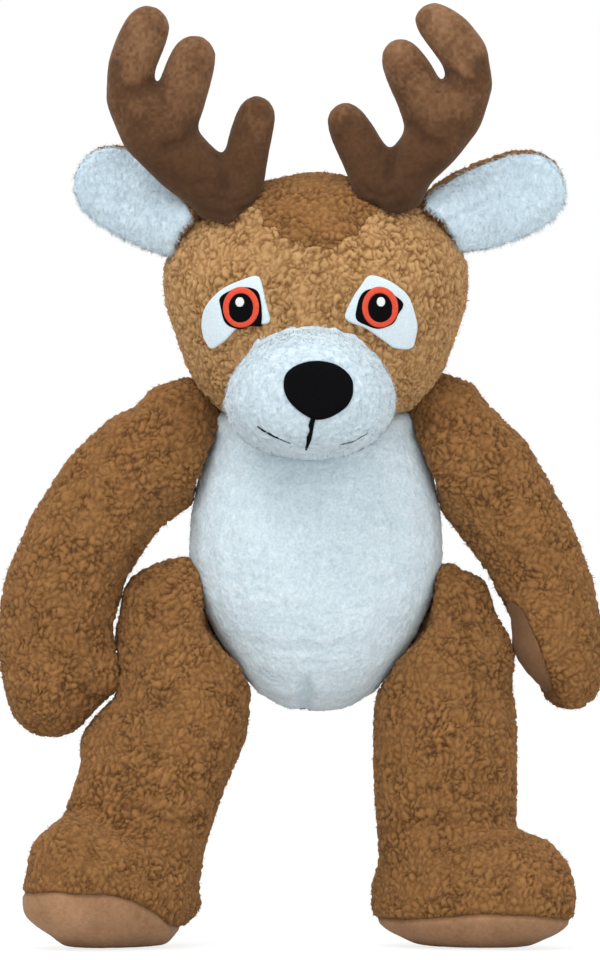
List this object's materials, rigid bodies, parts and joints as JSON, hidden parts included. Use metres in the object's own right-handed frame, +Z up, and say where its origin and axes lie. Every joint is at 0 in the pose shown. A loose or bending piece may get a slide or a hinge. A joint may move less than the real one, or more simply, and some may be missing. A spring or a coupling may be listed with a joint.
{
  "type": "plush deer toy",
  "caption": "Standing plush deer with curly fleece body, white belly and muzzle, padded antlers, leaf ears, embroidered face and limbs that swing.",
  "frame": {"origin": "on the floor in the middle under the toy", "axes": "+Z up, the deer faces -Y, its own left is +X"},
  "size_m": [0.2758, 0.1652, 0.4259],
  "materials": {
    "brown_sherpa": "looped sherpa pile, mid brown",
    "tan_sherpa": "looped sherpa pile, lighter tan",
    "white_sherpa": "soft white sherpa pile",
    "antler_minky": "short smooth pile, dark brown",
    "tan_minky": "short smooth pile, light brown",
    "white_felt": "smooth white felt",
    "coral_thread": "satin stitch embroidery, coral",
    "black_thread": "satin stitch embroidery, black",
    "filling": "polyester fibre filling"
  },
  "bodies": {
    "torso": {"belly_panel": "white_sherpa", "torso_back_panel": "brown_sherpa", "torso_stuffing": "filling"},
    "neck": {"neck_gusset": "brown_sherpa"},
    "head": {"head_face_panel": "tan_sherpa", "head_back_panel": "brown_sherpa", "muzzle_panel": "white_sherpa", "head_stuffing": "filling", "nose": "black_thread", "mouth_stitch": "black_thread", "eye_patch_left": "white_felt", "eye_outline_left": "black_thread", "eye_iris_left": "coral_thread", "eye_pupil_left": "black_thread", "eye_highlight_left": "white_felt", "eye_patch_right": "white_felt", "eye_outline_right": "black_thread", "eye_iris_right": "coral_thread", "eye_pupil_right": "black_thread", "eye_highlight_right": "white_felt"},
    "ear_left": {"ear_back_left": "brown_sherpa", "ear_lining_left": "white_sherpa"},
    "antler_left": {"antler_cover_left": "antler_minky", "antler_stuffing_left": "filling"},
    "arm_left": {"arm_cover_left": "brown_sherpa", "arm_stuffing_left": "filling", "palm_pad_left": "tan_minky"},
    "leg_left": {"leg_cover_left": "brown_sherpa", "leg_stuffing_left": "filling", "sole_pad_left": "tan_minky"},
    "ear_right": {"ear_back_right": "brown_sherpa", "ear_lining_right": "white_sherpa"},
    "antler_right": {"antler_cover_right": "antler_minky", "antler_stuffing_right": "filling"},
    "arm_right": {"arm_cover_right": "brown_sherpa", "arm_stuffing_right": "filling", "palm_pad_right": "tan_minky"},
    "leg_right": {"leg_cover_right": "brown_sherpa", "leg_stuffing_right": "filling", "sole_pad_right": "tan_minky"},
    "tail": {"tail": "brown_sherpa"}
  },
  "joints": [
    {"name": "neck_turn", "type": "hinge", "parent": "torso", "child": "neck", "pos_m": [0.00749, 0.01873, 0.238], "axis": [0, 0, 1], "range_deg": [-25, 25]},
    {"name": "neck_nod", "type": "hinge", "parent": "neck", "child": "head", "pos_m": [0.00749, 0.01873, 0.238], "axis": [-1, 0, 0], "range_deg": [-6, 12]},
    {"name": "shoulder_left", "type": "hinge", "parent": "torso", "child": "arm_left", "pos_m": [0.05549, 0.01873, 0.222], "axis": [-1, 0, 0], "range_deg": [-30, 90]},
    {"name": "hip_left", "type": "hinge", "parent": "torso", "child": "leg_left", "pos_m": [0.06599, 0.01873, 0.16], "axis": [-1, 0, 0], "range_deg": [-15, 80]},
    {"name": "ear_left", "type": "hinge", "parent": "head", "child": "ear_left", "pos_m": [0.05349, 0.03373, 0.323], "axis": [0.3746, 0, -0.9272], "range_deg": [-25, 8], "stiffness_Nm_per_rad": 0.03},
    {"name": "antler_left", "type": "hinge", "parent": "head", "child": "antler_left", "pos_m": [0.04149, -0.01127, 0.322], "axis": [1, 0, 0], "range_deg": [-10, 10], "stiffness_Nm_per_rad": 0.12},
    {"name": "shoulder_right", "type": "hinge", "parent": "torso", "child": "arm_right", "pos_m": [-0.04051, 0.01873, 0.222], "axis": [-1, 0, 0], "range_deg": [-30, 90]},
    {"name": "hip_right", "type": "hinge", "parent": "torso", "child": "leg_right", "pos_m": [-0.05101, 0.01873, 0.16], "axis": [-1, 0, 0], "range_deg": [-15, 80]},
    {"name": "ear_right", "type": "hinge", "parent": "head", "child": "ear_right", "pos_m": [-0.03851, 0.03373, 0.318], "axis": [0.515, 0, 0.8572], "range_deg": [-25, 8], "stiffness_Nm_per_rad": 0.03},
    {"name": "antler_right", "type": "hinge", "parent": "head", "child": "antler_right", "pos_m": [-0.02651, -0.01127, 0.322], "axis": [1, 0, 0], "range_deg": [-10, 10], "stiffness_Nm_per_rad": 0.12},
    {"name": "tail_wag", "type": "hinge", "parent": "torso", "child": "tail", "pos_m": [0.00749, 0.05473, 0.138], "axis": [1, 0, 0], "range_deg": [-15, 15], "stiffness_Nm_per_rad": 0.01}
  ]
}
